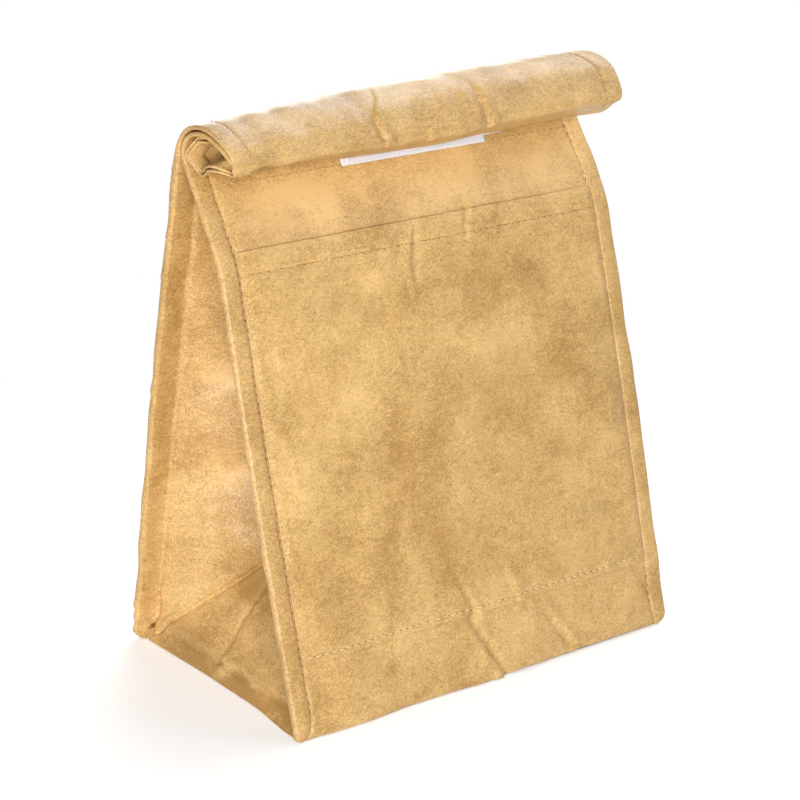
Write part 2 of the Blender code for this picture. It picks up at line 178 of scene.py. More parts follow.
# Creases of the left gusset and its ribs, and of the roll, as points in mm on the same terms
GUSSET_CREASES = (
    (((-88, 44, 74), (-84.3, 38.9, 67.5), (-81.5, 35, 59.3)), 1.4, 0.55, 0.3, 0, 1),
    (((-81.5, 35, 59.3), (-84, 38.3, 50.3), (-85, 40.3, 38.6), (-88.3, 46.9, 21)), 1.3, 0.5, 0.35, 1, 0.3),
    (((-81.2, 34.6, 58.5), (-73.5, 24.3, 59), (-64, 11, 58.5)), 1.5, 0.45, 0.35, 1, 0.3),
    (((-91, 40, 128), (-84.8, 35.8, 123.4), (-73.5, 28.7, 114.8)), 2.4, 0.6, 0.5, 0.6, 0.2),
    (((-92, 41, 139), (-82, 34, 134), (-70, 26, 131)), 2.2, 0.5, 0.45, 0.5, 0.1),
    (((-88, 42, 86), (-81.2, 35, 80.1), (-70, 22, 79)), 2.4, 0.5, 0.5, 0.6, 0.2),
    (((-80, 30, 158), (-74, 26, 146), (-72, 25, 136)), 2, 0.45, 0.35, 0.2, 0.2),
    (((-89, 4.8, 12), (-84, 6, 18), (-78, 7, 27)), 1.8, 0.45, 0.4, 0.2, 0.6),
)
# The folds between the gusset's lower triangles and round the side edge of the base
FOOT_CREASES = (
    (
        ((-98, 55, 0.5), (-84.3, 35.8, 18.6), (-73.9, 21.6, 32.6), (-66, 11.1, 43.4), (-60.5, 4, 49.4)),
        0.9, 0.45, 0.3, 0.9, 1,
    ),
    (((-60.5, 4, 50), (-72, -12, 36), (-84, -32, 20), (-96, -52, 2)), 1.3, 0.35, 0.25, 1, 0.3),
    (((-91, -42, 6.6), (-90, -16, 6.2), (-90, 14, 6.2), (-91, 42, 6.8)), 1.1, 1.1, 0.6, 1, 1),
)
# The fold down the middle of those triangles, with its lip towards the front
MIDDLE_FOLD = ((-60.5, 4, 50), (-70.4, 5.4, 35.5), (-80.3, 8.7, 20.5), (-88, 8, 9), (-94, 10, 0.5))
MIDDLE_CREASES = (
    (MIDDLE_FOLD, 3.2, 0.3, 0.3, 0.3, 1),
    (MIDDLE_FOLD, 1.2, 0.45, 0.6, 0.4, 1),
)
CRUMPLED_CORNER = np.array([-0.0970, 0.0520, 0.0060])
RIB_CREASES = (
    (((-102, 38, 114.6), (-92, 42, 114)), 1.4, 0.6, 0.3, 1, 0.3),
    (((-102, 26, 213.4), (-92, 30, 211)), 1.2, 0.4, 0.2, 1, 0.4),
    (((-102, 31, 181), (-92, 35, 179)), 1.2, 0.35, 0.2, 1, 0.4),
    (((-102, 34, 163.2), (-92, 38, 164.5)), 1.2, 0.35, 0.2, 1, 0.4),
    (((-100, 53.7, 15), (-95.5, 52.5, 18), (-90.5, 52.4, 18.6)), 1.2, 0.25, 0.2, 1, 1),
    (
        ((-90.2, 53.5, 10), (-90, 47.2, 60), (-90, 39.8, 118), (-90, 32, 180), (-90, 29.5, 200)),
        1.1, 0.55, 0, 1, 1,
    ),
)
ROLL_CREASES = (
    (
        ((-17.3, 16.7, 234.5), (-22, 6, 233.5), (-29, -0.5, 229.4), (-27.5, -7.5, 221.5)),
        1.3, 0.95, 0.45, 0.1, 1,
    ),
    (((20, 16, 236), (24.6, 2.4, 233.6), (24.8, -4.2, 227.6), (27, -7, 221)), 1.7, 0.9, 0.45, 0.1, 0.8),
    (((-6.5, -5.6, 225.5), (-4.6, -7.4, 219.3)), 1.2, 0.55, 0.3, 0.3, 0.8),
    (((6, 8, 235), (13.8, -0.1, 232.8), (15.9, -5.6, 227)), 2.4, 0.45, 0.3, 0.1, 0.7),
    (((52, 9.9, 236), (56, 2, 232.9), (60.4, -6.8, 224.4)), 2.6, 0.25, 0.2, 0, 0.5),
    (((-66.7, 8, 232.4), (-60.3, -0.3, 229.5), (-58.2, -6.4, 224.9)), 2.6, 0.25, 0.15, 0, 0.4),
    (((78.4, 1.4, 233.6), (74.1, -7.6, 223.3)), 1.6, 0.25, 0.2, 0.1, 0.6),
)

# Kraft colours, what multiplies them where they are darkest, palest and ruddiest
BODY_BROWN = (0.62, 0.380, 0.134)
POCKET_BROWN = (0.625, 0.385, 0.134)
DARK_SHARE = (0.68, 0.61, 0.48)
PALE_SHARE = (1.30, 1.39, 1.58)
RUDDY_SHARE = (0.92, 0.80, 0.72)
# Layers of its print as noise scale, detail, roughness, stretch and weight
PRINT_LAYERS = (
    (13.0, 2.0, 0.5, (1.0, 1.0, 1.0), 0.75),
    (42.0, 3.0, 0.5, (0.9, 0.9, 1.1), 1.15),
    (190.0, 3.0, 0.5, (0.8, 0.8, 1.2), 0.62),
    (1450.0, 1.0, 0.5, (1.0, 1.0, 1.0), 1.60),
    (620.0, 2.0, 0.6, (0.7, 0.7, 1.3), 0.80),
)
PATCH_WARP = 0.026
PATCH_SPREAD = 1.5
# Darker and paler patches of the kraft, as centre and half sizes in mm, and how much paler. Some are mottle
# of the print. Others are painted light: painted shade on the left gusset's lower triangles and along the
# fold at its base edge, painted light on the upper front beneath the roll, and painted highlights on the
# left gusset and beside the left front seam.
TONE_AND_LIGHT_PATCHES = (
    ((49, -13, 147), (12, 20, 9), -0.32),
    ((60, -22, 120), (8, 20, 10), -0.20),
    ((39, -46, 42), (12, 20, 9), -0.30),
    ((-14, -10, 157), (9, 20, 22), -0.20),
    ((-30, -27, 106), (8, 20, 28), -0.22),
    ((-40, -37, 72), (6, 20, 22), -0.30),
    ((-46, -46, 43), (6, 20, 14), -0.26),
    ((-19, -44, 51), (5, 20, 14), -0.18),
    ((-23, 1, 185), (12, 20, 9), -0.20),
    ((-69, -35, 79), (12, 20, 16), -0.12),
    ((22, -18, 133), (24, 20, 10), 0.30),
    ((5, -28, 101), (12, 20, 18), 0.24),
    ((-2, -39, 67), (8, 20, 18), 0.20),
    # Painted light on the upper front beneath the roll (these three)
    ((30, 10, 198), (7, 20, 12), 0.32),
    ((72, 5, 190), (9, 20, 9), 0.16),
    ((-54, 8, 194), (34, 20, 13), 0.30),
    ((10, -54, 17), (6, 20, 9), 0.22),
    ((-69, -56, 11), (16, 20, 11), 0.22),
    ((-28, -54, 17), (9, 20, 9), 0.16),
    ((55, -35, 78), (12, 20, 20), 0.18),
    ((82, -14, 144), (12, 20, 14), 0.14),
    ((84, -53, 18), (8, 20, 8), 0.18),
    # Painted shade: the gusset's lower triangles under the fold's lip, and the fold along the left base
    # edge
    ((-72, 8, 34), (15, 16, 12), -0.75),
    ((-90, 30, 7), (14, 22, 9), -0.50),
    ((-94, -6, 1), (9, 44, 4.5), -1.00),
    # Painted light across the whole upper front beneath the roll
    ((0, 8, 200), (95, 20, 15), 0.40),
    # Painted highlights: glints on the left gusset
    ((-72, 28, 118), (14, 12, 7), 0.50),
    ((-72, 24, 82), (14, 12, 6), 0.45),
    # Painted highlight: a pale sheen beside the left front seam
    ((-84, -20, 112), (3, 30, 60), 0.22),
    ((94, -50, 10), (10, 18, 12), -0.30),
)

# Studio: the floor's height, what it throws back, and white lamps as name, place, aim, size, power
FLOOR_HEIGHT = -0.0003
FLOOR_BOUNCE = (0.50, 0.49, 0.47)
FLOOR_GLOW = 0.30
FLOOR_COLOUR = (0.94, 0.94, 0.94, 1.0)
FLOOR_FADE_START = 0.15
FLOOR_FADE_END = 0.36
FLOOR_REACH = 4.0
ROOM_COLOUR = (0.95, 0.97, 1.0, 1.0)
ROOM_LIGHT = 0.20
WHITE = (1.0, 1.0, 1.0, 1.0)
LAMPS = (
    ("key", (-0.75, -0.85, 0.35), (0, 0, 0.11), (0.6, 0.6), 12.8),
    ("left", (-0.90, -0.25, 0.25), (0, 0, 0.11), (0.5, 0.5), 1.9),
    ("right", (0.60, -0.55, 0.78), (0, 0, 0.19), (0.5, 0.5), 1.4),
    ("top", (0.62, 0.36, 0.95), (0, 0, 0.22), (0.8, 0.8), 7.5),
    ("behind", (0.55, 1.05, 0.36), (0, 0, 0.11), (0.6, 0.6), 6.0),
)

# Mesh density, and how far the sheets of body and roll run inside each other at the neck
OVERLAP_ROWS = 4
OVERLAP_STEP = 0.00001
BODY_COLUMNS = {"front": 116, "back": 54, "gusset": 56, "triangle": 28}
ROLL_COLUMNS = {"front": 56, "back": 170, "gusset": 8, "triangle": 4}
RIB_ARC_STEPS = 8
BODY_STEP = 0.0016
FOOT_STEP = 0.0012
ROLL_STEPS = 7

# Camera, fitted to the photograph's corners and seams
CAMERA_PLACE = (-0.654633, -0.777268, 0.479373)
CAMERA_AIM = (-0.007035, 0.0, 0.105988)
CAMERA_ROLL = math.radians(2.3874)
SENSOR_WIDTH = 36.0
FOCAL_SHARE = 2620.94 / 800

HALF_WIDTH = BAG_WIDTH / 2
FRONT_FOOT_Y = -BASE_DEPTH / 2
BACK_FOOT_Y = BASE_DEPTH / 2
SHOULDER_Y = FRONT_FOOT_Y + SHOULDER_SETBACK
NECK_BACK_Y = BACK_FOOT_Y - BACK_SETBACK
NECK_FRONT_Y = NECK_BACK_Y - NECK_THICKNESS
NECK_Y = (NECK_FRONT_Y + NECK_BACK_Y) / 2
STRIP_STACK = 2 * STRIP_THICKNESS + 3 * CLEARANCE


def mix(a, b, share):
    return a + (b - a) * share


def ease(share):
    share = np.clip(share, 0.0, 1.0)
    return share * share * (3 - 2 * share)


def front_line(z):
    """The front panel's outer face, with its shoulder bent over a short height."""
    low_slope = (SHOULDER_Y - FRONT_FOOT_Y) / (SHOULDER_HEIGHT - FOLD_RADIUS)
    high_slope = (NECK_FRONT_Y - SHOULDER_Y) / (NECK_HEIGHT - SHOULDER_HEIGHT)
    above = z - SHOULDER_HEIGHT
    bend = 0.5 * (above + np.sqrt(above**2 + SHOULDER_SOFTNESS**2)) * (high_slope - low_slope)
    neck_above = NECK_HEIGHT - SHOULDER_HEIGHT
    neck_bend = 0.5 * (neck_above + math.hypot(neck_above, SHOULDER_SOFTNESS)) * (high_slope - low_slope)
    excess = neck_bend - neck_above * (high_slope - low_slope)
    straight = FRONT_FOOT_Y + low_slope * np.maximum(z - FOLD_RADIUS, 0.0)
    return straight + bend - excess * ease(z / NECK_HEIGHT)


def back_line(z):
    return mix(BACK_FOOT_Y, NECK_BACK_Y, np.maximum(z - FOLD_RADIUS, 0.0) / (NECK_HEIGHT - FOLD_RADIUS))


def swell(x, z, top):
    across = np.maximum(0.0, 1 - (x / (HALF_WIDTH - SEAM_WIDTH)) ** 2)
    up = np.clip((z - FOLD_RADIUS) / (top - FOLD_RADIUS), 0.0, 1.0)
    return PANEL_BULGE * across * np.sin(math.pi * up)


def front_face(x, z):
    return front_line(z) - swell(x, z, SHOULDER_HEIGHT)


def back_face(x, z):
    return back_line(z) + swell(x, z, NECK_HEIGHT)


def upper_front():
    """Directions in the YZ plane up the front panel above its shoulder, and out of it."""
    rise = np.array([NECK_FRONT_Y - SHOULDER_Y, NECK_HEIGHT - SHOULDER_HEIGHT])
    rise /= np.linalg.norm(rise)
    return rise, np.array([-rise[1], rise[0]])


def gusset_half_width():
    open_half = (back_line(APEX_HEIGHT) - front_line(APEX_HEIGHT)) / 2 - SEAM_THICKNESS
    return math.hypot(open_half, APEX_INSET)


def valley_inset(open_half):
    return np.sqrt(np.maximum(gusset_half_width() ** 2 - open_half**2, 0.0))


def roll_line(before_leg, end, rise, touchdown):
    """The roll's middle line at one end of the bag, as rows of y, z and half thickness."""
    def placed(outline):
        return [[NECK_Y - f * ROLL_REACH, NECK_HEIGHT + up * rise, half] for f, up, half in outline]

    up_panel, out_of_panel = upper_front()
    leg = []
    for below_neck in (touchdown, LEG_TOP_BELOW_NECK):
        foot = np.array([NECK_FRONT_Y, NECK_HEIGHT]) - up_panel * (below_neck / up_panel[1])
        centre = foot + out_of_panel * (STRIP_STACK + ROLL_LEG_HALF)
        leg.append([centre[0], centre[1], ROLL_LEG_HALF])
    neck = [[NECK_Y, NECK_HEIGHT, NECK_THICKNESS / 2]]
    return np.array(neck + placed(before_leg) + leg + placed(end))


def spline(points, place):
    """Points of the Catmull-Rom curve through these rows, at an array of places."""
    place = np.asarray(place, float)
    index = np.minimum(place.astype(int), len(points) - 2)
    share = (place - index)[..., None]
    before, start = points[np.maximum(index - 1, 0)], points[index]
    end, after = points[index + 1], points[np.minimum(index + 2, len(points) - 1)]
    slope_start, slope_end = (end - before) / 2, (after - start) / 2
    square, cube = share**2, share**3
    return (
        start * (2 * cube - 3 * square + 1)
        + slope_start * (cube - 2 * square + share)
        + end * (3 * square - 2 * cube)
        + slope_end * (cube - square)
    )


def waves(points, length, count, seed, stretch=(1.0, 1.0, 1.0)):
    """Smooth waves over space in seeded directions, with a spread of about 1."""
    spread = np.random.default_rng(seed)
    headings = spread.normal(size=(count, 3))
    headings /= np.linalg.norm(headings, axis=1, keepdims=True)
    lengths = length * spread.uniform(0.7, 1.6, count)
    phases = spread.uniform(0, 2 * math.pi, count)
    total = np.zeros(points.shape[:-1])
    for heading, size, phase in zip(headings, lengths, phases):
        total += np.cos((points * np.array(stretch)) @ (heading * 2 * math.pi / size) + phase)
    return total * math.sqrt(2 / count)


def crease_push(points, creases, side=(1.0, 0.0, 0.0)):
    """How far creases push the sheet out, for points in metres; each is a valley with a lip beside it."""
    push = np.zeros(points.shape[:-1])
    for path, width, depth, lip, start, end in creases:
        flat = len(path[0]) == 2
        path = np.array([(p[0], 0.0, p[1]) if flat else p for p in path]) / 1000
        width, depth, lip = width / 1000, depth / 1000 * CREASE_GAIN, lip / 1000 * CREASE_GAIN
        lengths = np.linalg.norm(np.diff(path, axis=0), axis=1)
        total = lengths.sum()
        nearest = np.full(points.shape[:-1], 1.0)
        signed = np.zeros_like(nearest)
        along = np.zeros_like(nearest)
        run = 0.0
        for a, b, length in zip(path, path[1:], lengths):
            way = (b - a) / length
            from_a = points - a
            place = np.clip(from_a @ way, 0, length)
            offset = from_a - place[..., None] * way
            distance = np.linalg.norm(offset, axis=-1)
            closer = distance < nearest
            nearest = np.where(closer, distance, nearest)
            signed = np.where(closer, np.where(offset @ np.array(side) > 0, distance, -distance), signed)
            along = np.where(closer, (run + place) / total, along)
            run += length
        strength = mix(start, end, along)
        signed = signed * math.copysign(1.0, lip)
        valley = np.exp(-((nearest / width) ** 2))
        ridge = np.exp(-(((signed - 2.0 * width) / (1.4 * width)) ** 2))
        push += strength * (abs(lip) * ridge - depth * valley)
    return push


def laid_on(area, creases):
    """The same creases with their paths drawn onto the surface through these points."""
    surface = area.reshape(-1, 3)
    drawn = []
    for path, *rest in creases:
        path = np.array(path) / 1000
        run = np.concatenate([[0.0], np.cumsum(np.linalg.norm(np.diff(path, axis=0), axis=1))])
        places = np.linspace(0, run[-1], max(2, round(run[-1] / CREASE_PATH_STEP)) + 1)
        dense = np.stack([np.interp(places, run, path[:, axis]) for axis in range(3)], -1)
        found = []
        for point in dense:
            away = ((surface - point) ** 2).sum(1)
            found.append(surface[np.argpartition(away, CREASE_PATH_POINTS)[:CREASE_PATH_POINTS]].mean(0))
        found = np.array(found)
        for _ in range(2):
            found[1:-1] = (found[:-2] + 2 * found[1:-1] + found[2:]) / 4
        drawn.append((found * 1000, *rest))
    return drawn


def front_relief(x, z):
    """How far the front's sheet stands out of its plain face, away from its seams and strips."""
    points = np.stack([x, 0 * x, z], -1)
    push = 0.00045 * waves(points, 0.060, 10, 11) + 0.00016 * waves(points, 0.021, 14, 12)
    push = push + 0.00010 * np.abs(waves(points, 0.010, 16, 13))
    push = push + crease_push(points, FRONT_CREASES)
    inner = ease((HALF_WIDTH - SEAM_WIDTH - np.abs(x)) / 0.008)
    return push * inner * (1 - ease((z - 0.190) / 0.010))


def front_out(z):
    """Direction out of the front's plain face at a height, as y and z."""
    slope = (front_line(z + 1e-4) - front_line(z - 1e-4)) / 2e-4
    size = np.sqrt(1 + slope**2)
    return -1 / size, slope / size


def widen(x, z):
    """The bag stands a little wider between its base and its neck."""
    return x * (1 + WAIST_SWELL / HALF_WIDTH * np.sin(math.pi * np.clip(z / NECK_HEIGHT, 0, 1)))


def foot_shift(x, z):
    """How the front's foot bows forwards, and lifts where a crease meets it, as y and z shifts."""
    low = np.maximum(1 - z / 0.020, 0.0) ** 1.5
    bow = -FOOT_BULGE * np.exp(-(((x - FOOT_BULGE_X) / FOOT_BULGE_REACH) ** 2)) * low
    lift = FOOT_LIFT * np.exp(-(((x - FOOT_LIFT_X) / FOOT_LIFT_REACH) ** 2)) * low
    lift = lift + FOOT_LIFT_RIGHT * ease((x - FOOT_LIFT_X) / 0.030) * ease((HALF_WIDTH - x) / 0.025) * low
    return bow, lift


def steps_between(low, high, step):
    count = max(1, round((high - low) / step))
    return np.linspace(low, high, count + 1)[1:]


class Stations:
    """Sections of the bag as arrays: those from the base to the neck, or those round the roll."""

    def __init__(self, rolled):
        turn = np.linspace(0, math.pi / 2, 5)
        fold_z = FOOT_ROUNDING * (1 - np.cos(turn))
        heights = np.concatenate([
            fold_z,
            steps_between(FOOT_ROUNDING, 0.012, FOOT_STEP),
            steps_between(0.012, APEX_HEIGHT, 0.0011),
            steps_between(APEX_HEIGHT, SHOULDER_HEIGHT, BODY_STEP),
            steps_between(SHOULDER_HEIGHT, NECK_HEIGHT, BODY_STEP)[:-1],
        ])
        fold = np.zeros_like(heights)
        fold[:5] = FOOT_ROUNDING * (1 - np.sin(turn))
        self.left = roll_line(ROLL_LINE_LEFT, ROLL_END_LEFT, ROLL_RISE_LEFT, LEG_TOUCHDOWN_LEFT)
        self.right = roll_line(ROLL_LINE_RIGHT, ROLL_END_RIGHT, ROLL_RISE_RIGHT, LEG_TOUCHDOWN_RIGHT)
        last = len(self.left) - 1
        places = np.linspace(0, last, last * ROLL_STEPS + 1)
        self.z = np.concatenate([heights, np.full(len(places), NECK_HEIGHT)])
        self.fold = np.concatenate([fold, np.zeros(len(places))])
        self.place = np.concatenate([np.full(len(heights), -1.0), places])
        joint = len(heights)
        rows = np.arange(len(self.place))
        kept = rows >= joint - OVERLAP_ROWS if rolled else rows <= joint + OVERLAP_ROWS
        self.beyond = np.clip(joint - rows if rolled else rows - joint, 0, OVERLAP_ROWS)[kept]
        self.z, self.fold, self.place = self.z[kept], self.fold[kept], self.place[kept]
        self.counts = ROLL_COLUMNS if rolled else BODY_COLUMNS
        self.in_roll = self.place >= 0
        self.count = len(self.z)
        self.shape_sides()

    def skins(self, x):
        """Front and back skin points, as (y, z), for x given as stations by columns."""
        z = self.z[:, None] + 0 * x
        front = np.stack([front_face(x, z) + self.fold[:, None], z], -1)
        back = np.stack([back_face(x, z) - self.fold[:, None], z], -1)
        place = np.maximum(self.place, 0)
        last = len(self.left) - 1
        share = ((x + HALF_WIDTH) / BAG_WIDTH)[..., None]
        share = share + ROLL_SWELL * np.sin(math.pi * np.clip(share, 0, 1))
        middle = mix(spline(self.left, place)[:, None], spline(self.right, place)[:, None], share)
        ahead, behind = np.minimum(place + 0.05, last), np.maximum(place - 0.05, 0)
        run_left = spline(self.left, ahead) - spline(self.left, behind)
        run_right = spline(self.right, ahead) - spline(self.right, behind)
        run = mix(run_left[:, None], run_right[:, None], share)[..., :2]
        run /= np.linalg.norm(run, axis=-1, keepdims=True)
        across = np.stack([run[..., 1], -run[..., 0]], -1)
        level = np.minimum(place, 1.0)[:, None, None]
        across = mix(np.array([1.0, 0.0]), across, level)
        across /= np.linalg.norm(across, axis=-1, keepdims=True)
        half = middle[..., 2:]
        rolled = self.in_roll[:, None, None]
        front = np.where(rolled, middle[..., :2] - across * half, front)
        back = np.where(rolled, middle[..., :2] + across * half, back)
        return front, back

    def shape_sides(self):
        """Seam ribs and gusset creases for each station."""
        middle = np.zeros((self.count, 1))
        front, back = self.skins(middle)
        thickness = np.linalg.norm(back - front, axis=-1)[:, 0]
        z = self.z
        foot = np.maximum(SEAM_FOOT_RADIUS - z, 0.0)
        self.edge = SEAM_FOOT_RADIUS - np.sqrt(SEAM_FOOT_RADIUS**2 - foot**2)
        self.edge[self.in_roll] = 0
        self.root = mix(SEAM_FOOT_WIDTH, SEAM_WIDTH, ease(z / SEAM_FOOT_HEIGHT))
        gap = np.minimum(ROLL_SEAM_GAP, ROLL_SEAM_GAP_SHARE * thickness)
        self.seam = np.minimum(SEAM_THICKNESS, (thickness - gap) / 2)
        plain_front = front_line(z) + self.fold
        side_thickness = np.where(self.in_roll, thickness, back_line(z) - self.fold - plain_front)
        open_half = side_thickness / 2 - self.seam
        opening = np.minimum(VALLEY_OPENING, open_half / 2) / side_thickness
        depth = valley_inset(open_half)
        last = len(self.left) - 1
        notch = mix(valley_inset(0.0), ROLL_NOTCH, ease(self.place / 3))
        depth = np.where(self.in_roll, notch, depth)
        depth = mix(depth, 0.0012, ease((self.place - last + 1) * self.in_roll))
        inset = SEAM_WIDTH + depth
        upper_inset = np.stack([inset - VALLEY_ROUNDING, inset, inset - VALLEY_ROUNDING], 1)
        upper_share = np.stack([0.5 - opening, 0.5 + 0 * opening, 0.5 + opening], 1)
        up = np.clip(z / APEX_HEIGHT, 0, 1)[:, None]
        apex_y = (back_line(APEX_HEIGHT) + front_line(APEX_HEIGHT)) / 2
        apex_inset = SEAM_WIDTH + APEX_INSET
        corner_y = BASE_DEPTH / 2 - self.fold - SEAM_THICKNESS - VALLEY_OPENING
        foot_y = np.stack([-corner_y, CREASE_FOOT_Y + 0 * z, corner_y], 1)
        top_y = apex_y + np.array([-VALLEY_OPENING, 0, VALLEY_OPENING])
        foot_inset = np.array([SEAM_FOOT_RADIUS, BASE_BOW, SEAM_FOOT_RADIUS])
        top_inset = apex_inset - np.array([VALLEY_ROUNDING, 0, VALLEY_ROUNDING])
        lower_inset = mix(foot_inset, top_inset, up)
        lower_share = (mix(foot_y, top_y, up) - plain_front[:, None]) / side_thickness[:, None]
        low = (z < APEX_HEIGHT)[:, None]
        self.crease_inset = np.where(low, lower_inset, upper_inset)
        self.crease_share = np.where(low, lower_share, upper_share)

    def points(self, side, inset, share=0.0, distance=0.0):
        """Points at an inset from a side, by share of the thickness and by distance from a skin."""
        x = side * (HALF_WIDTH - inset)
        front, back = self.skins(x)
        thickness = np.linalg.norm(back - front, axis=-1)
        part = (share + distance / thickness)[..., None]
        flat = mix(front, back, part)
        return np.concatenate([x[..., None], flat], -1)

    def rib(self, side, back):
        """A seam rib from its stitch crease round its edge to its root, as stations by columns."""
        root, edge, depth = self.root[:, None], self.edge[:, None], self.seam[:, None]
        rolled = 1.0 if side > 0 else ROLL_CREASE_LEFT
        crease = np.minimum(CREASE_DEPTH, depth / 4) * np.where(self.in_roll, rolled, 1.0)[:, None]
        reach = np.minimum(CREASE_REACH, (root - edge) / 4)
        line = root - STITCH_INSET
        puff = np.minimum(RIB_PUFF, depth / 8)
        across = np.array([1.0, 0.5, 0.14, -0.14, -0.5, -1.0])
        sunk = np.array([0.0, 0.25, 1.0, 1.0, 0.2, 0.0])
        insets = [line + reach * across, mix(edge, line, 0.5)]
        depths = [crease * sunk - puff * np.array([0, 0, 0, 0, 0.2, 0.7]), -puff]
        theta = np.linspace(math.pi / 2, -math.pi / 2, RIB_ARC_STEPS + 1)
        round_off = depth * 0.46
        insets.append(edge + round_off * (1 - np.cos(theta) ** 0.8))
        turned = np.sign(np.sin(theta)) * np.abs(np.sin(theta)) ** 0.8
        depths.append(depth / 2 - (depth / 2 + puff * 0.5) * turned)
        insets += [mix(edge, root, 0.5), root]
        depths += [depth, depth]
        inset, distance = np.concatenate(insets, 1), np.concatenate(depths, 1)
        share = 1.0 if back else 0.0
        return self.points(side, inset, share, -distance if back else distance)

    def side(self, side):
        """One side of the bag from front to back: rib, gusset, rib."""
        front_rib, back_rib = self.rib(side, False), self.rib(side, True)[:, ::-1]
        creases = self.points(side, self.crease_inset, self.crease_share)
        marks = (front_rib[:, -1], creases[:, 0], creases[:, 1], creases[:, 2], back_rib[:, 0])
        gusset, triangle = self.counts["gusset"], self.counts["triangle"]
        counts = (gusset, triangle, triangle, gusset)
        runs = []
        for start, end, count in zip(marks, marks[1:], counts):
            share = np.linspace(0, 1, count + 1)[1:, None]
            runs.append(mix(start[:, None], end[:, None], share))
        return np.concatenate([front_rib, *runs, back_rib[:, 1:]], 1)

    def face(self, back):
        columns = self.counts["back" if back else "front"]
        reach = np.minimum(CREASE_REACH, (self.root - self.edge) / 4)
        limit = (HALF_WIDTH - self.root + STITCH_INSET - reach)[:, None]
        x = limit * np.linspace(-1, 1, columns + 1)[1:-1]
        share = np.full_like(x, 1.0 if back else 0.0)
        return self.points(1, HALF_WIDTH - x, share)


